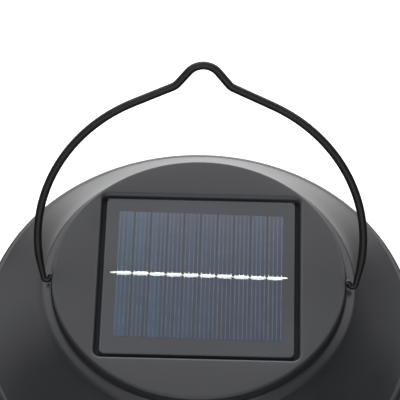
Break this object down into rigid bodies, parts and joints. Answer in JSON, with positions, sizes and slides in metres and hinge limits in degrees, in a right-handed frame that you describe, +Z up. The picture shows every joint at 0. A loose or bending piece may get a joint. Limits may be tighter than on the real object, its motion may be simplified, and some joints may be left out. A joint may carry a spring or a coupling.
{
  "type": "hanging solar garden lantern",
  "caption": "Hanging solar lantern: wide-brimmed cap with a solar panel on top, swinging wire handle, clear cylinder with a filament lamp, posts and a round base.",
  "frame": {"origin": "on the ground, at the middle of the lantern's footprint, which is also its turning axis", "axes": "+Z up; +X along the axis that the wire handle swings about; -Y is the front, and the handle leans towards +Y at rest"},
  "size_m": [0.1498, 0.1498, 0.2448],
  "materials": {
    "cap_plastic": "satin, fine moulded texture",
    "bezel_plastic": "satin, fine moulded texture",
    "wire_black": "satin black coating on steel wire",
    "rubber_black": "matt",
    "panel_backing": "smooth",
    "silicon_cell": "dark blue silicon with fine silver fingers",
    "solder_ribbon": "tinned and uneven",
    "panel_coating": "clear epoxy",
    "clear_plastic": "clear",
    "steel": "zinc plated",
    "brass": "satin",
    "filament_yellow": "phosphor coating",
    "circuit_green": "solder mask",
    "cell_wrap": "shrink wrap",
    "black_moulding": "plain moulding",
    "copper_winding": "enamelled",
    "lead_red": "insulation",
    "lead_black": "insulation"
  },
  "bodies": {
    "root": {"base_cover": "cap_plastic", "base_dish": "cap_plastic", "battery_cell": "cell_wrap", "battery_contact": "steel", "battery_cradle": "black_moulding", "battery_spring": "steel", "bezel_seal": "rubber_black", "bulb_cap": "brass", "bulb_globe": "clear_plastic", "bulb_stem": "clear_plastic", "busbar_ribbon": "solder_ribbon", "cage_post_1": "wire_black", "cage_post_2": "wire_black", "cage_post_3": "wire_black", "cage_post_4": "wire_black", "cap_underplate": "cap_plastic", "cell_strip_1": "silicon_cell", "cell_strip_10": "silicon_cell", "cell_strip_2": "silicon_cell", "cell_strip_3": "silicon_cell", "cell_strip_4": "silicon_cell", "cell_strip_5": "silicon_cell", "cell_strip_6": "silicon_cell", "cell_strip_7": "silicon_cell", "cell_strip_8": "silicon_cell", "cell_strip_9": "silicon_cell", "charge_inductor": "copper_winding", "circuit_board": "circuit_green", "driver_chip": "black_moulding", "filter_capacitor": "steel", "lamp_holder": "cap_plastic", "led_filament_1": "filament_yellow", "led_filament_2": "filament_yellow", "led_filament_3": "filament_yellow", "led_filament_4": "filament_yellow", "lens_seal_bottom": "rubber_black", "lens_seal_top": "rubber_black", "lens_tube": "clear_plastic", "panel_adhesive_pad": "rubber_black", "panel_bezel": "bezel_plastic", "panel_board": "panel_backing", "panel_laminate": "panel_coating", "panel_lead_black": "lead_black", "panel_lead_red": "lead_red", "post_nut_1": "steel", "post_nut_2": "steel", "post_nut_3": "steel", "post_nut_4": "steel", "rubber_foot_1": "rubber_black", "rubber_foot_2": "rubber_black", "rubber_foot_3": "rubber_black", "switch_body": "black_moulding", "top_cap": "cap_plastic", "underplate_screw_1": "steel", "underplate_screw_2": "steel", "underplate_screw_3": "steel", "underplate_screw_4": "steel", "underplate_seal": "rubber_black"},
    "bail": {"bail_handle": "wire_black"},
    "button": {"switch_button": "rubber_black"}
  },
  "joints": [
    {"name": "bail_swing", "type": "hinge", "parent": "root", "child": "bail", "pos_m": [0, 0, 0.1801], "axis": [1, 0, 0], "range_deg": [-70, 136]},
    {"name": "button_press", "type": "slide", "parent": "root", "child": "button", "axis": [0, 0, 1], "range_m": [0, 0.0016], "stiffness_N_per_m": 400}
  ]
}
